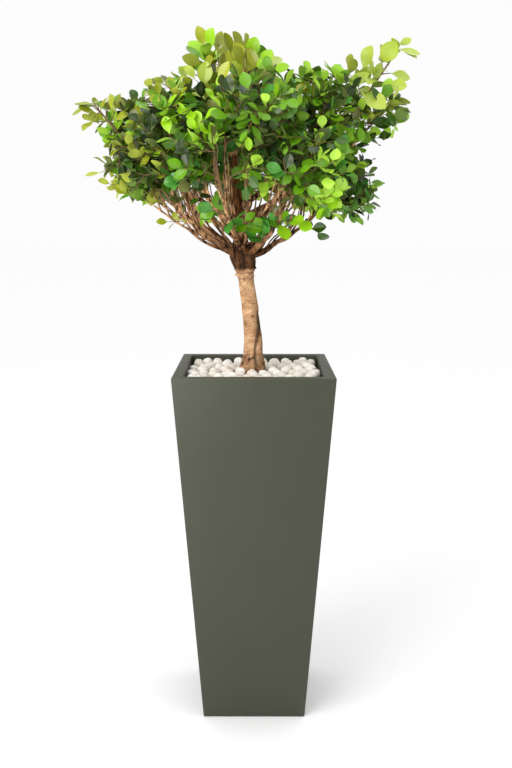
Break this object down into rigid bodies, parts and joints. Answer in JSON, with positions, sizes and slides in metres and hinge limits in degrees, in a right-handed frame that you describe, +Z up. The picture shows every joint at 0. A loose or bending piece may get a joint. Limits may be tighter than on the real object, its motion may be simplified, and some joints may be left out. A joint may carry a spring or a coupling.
{
  "type": "potted ficus",
  "caption": "Ficus tree with a leaning trunk, a fan of boughs and a leafy crown, in a tall tapered square planter topped with pale pebbles.",
  "frame": {"origin": "middle of the planter's flat underside, on the floor", "axes": "+Z up, +X to the right and +Y away from the viewer as the picture shows it"},
  "size_m": [0.802, 0.6522, 1.689],
  "materials": {
    "pot": "matte olive grey",
    "soil": "damp and crumbly",
    "pebbles": "smooth pale stone",
    "trunk_bark": "tan bark with cross marks",
    "bough_bark": "red brown bark",
    "leaves": "glossy green",
    "young_leaves": "glossy yellow green"
  },
  "bodies": {
    "root": {"pot": "pot", "soil": "soil", "pebbles": "pebbles", "trunk": "trunk_bark", "bough_skirt_1": "bough_bark", "bough_skirt_2": "bough_bark", "bough_skirt_3": "bough_bark", "bough_skirt_4": "bough_bark", "bough_skirt_5": "bough_bark", "bough_skirt_6": "bough_bark", "bough_skirt_7": "bough_bark", "bough_shoulder_1": "bough_bark", "bough_shoulder_2": "bough_bark", "bough_shoulder_3": "bough_bark", "bough_shoulder_4": "bough_bark", "bough_shoulder_5": "bough_bark", "bough_shoulder_6": "bough_bark", "bough_shoulder_7": "bough_bark", "bough_crest_1": "bough_bark", "bough_crest_2": "bough_bark", "bough_crest_3": "bough_bark", "bough_sprig_1": "bough_bark", "bough_spur_1": "bough_bark", "bough_shoot_1": "bough_bark", "foliage_skirt_1": "leaves", "foliage_skirt_2": "leaves", "foliage_skirt_3": "leaves", "foliage_skirt_4": "leaves", "foliage_skirt_5": "leaves", "foliage_skirt_6": "leaves", "foliage_skirt_7": "leaves", "foliage_shoulder_1": "leaves", "foliage_shoulder_2": "leaves", "foliage_shoulder_3": "leaves", "foliage_shoulder_4": "leaves", "foliage_shoulder_5": "leaves", "foliage_shoulder_6": "leaves", "foliage_shoulder_7": "leaves", "foliage_crest_1": "young_leaves", "foliage_crest_2": "young_leaves", "foliage_crest_3": "young_leaves", "foliage_sprig_1": "young_leaves", "foliage_spur_1": "leaves", "foliage_shoot_1": "young_leaves"}
  },
  "joints": []
}
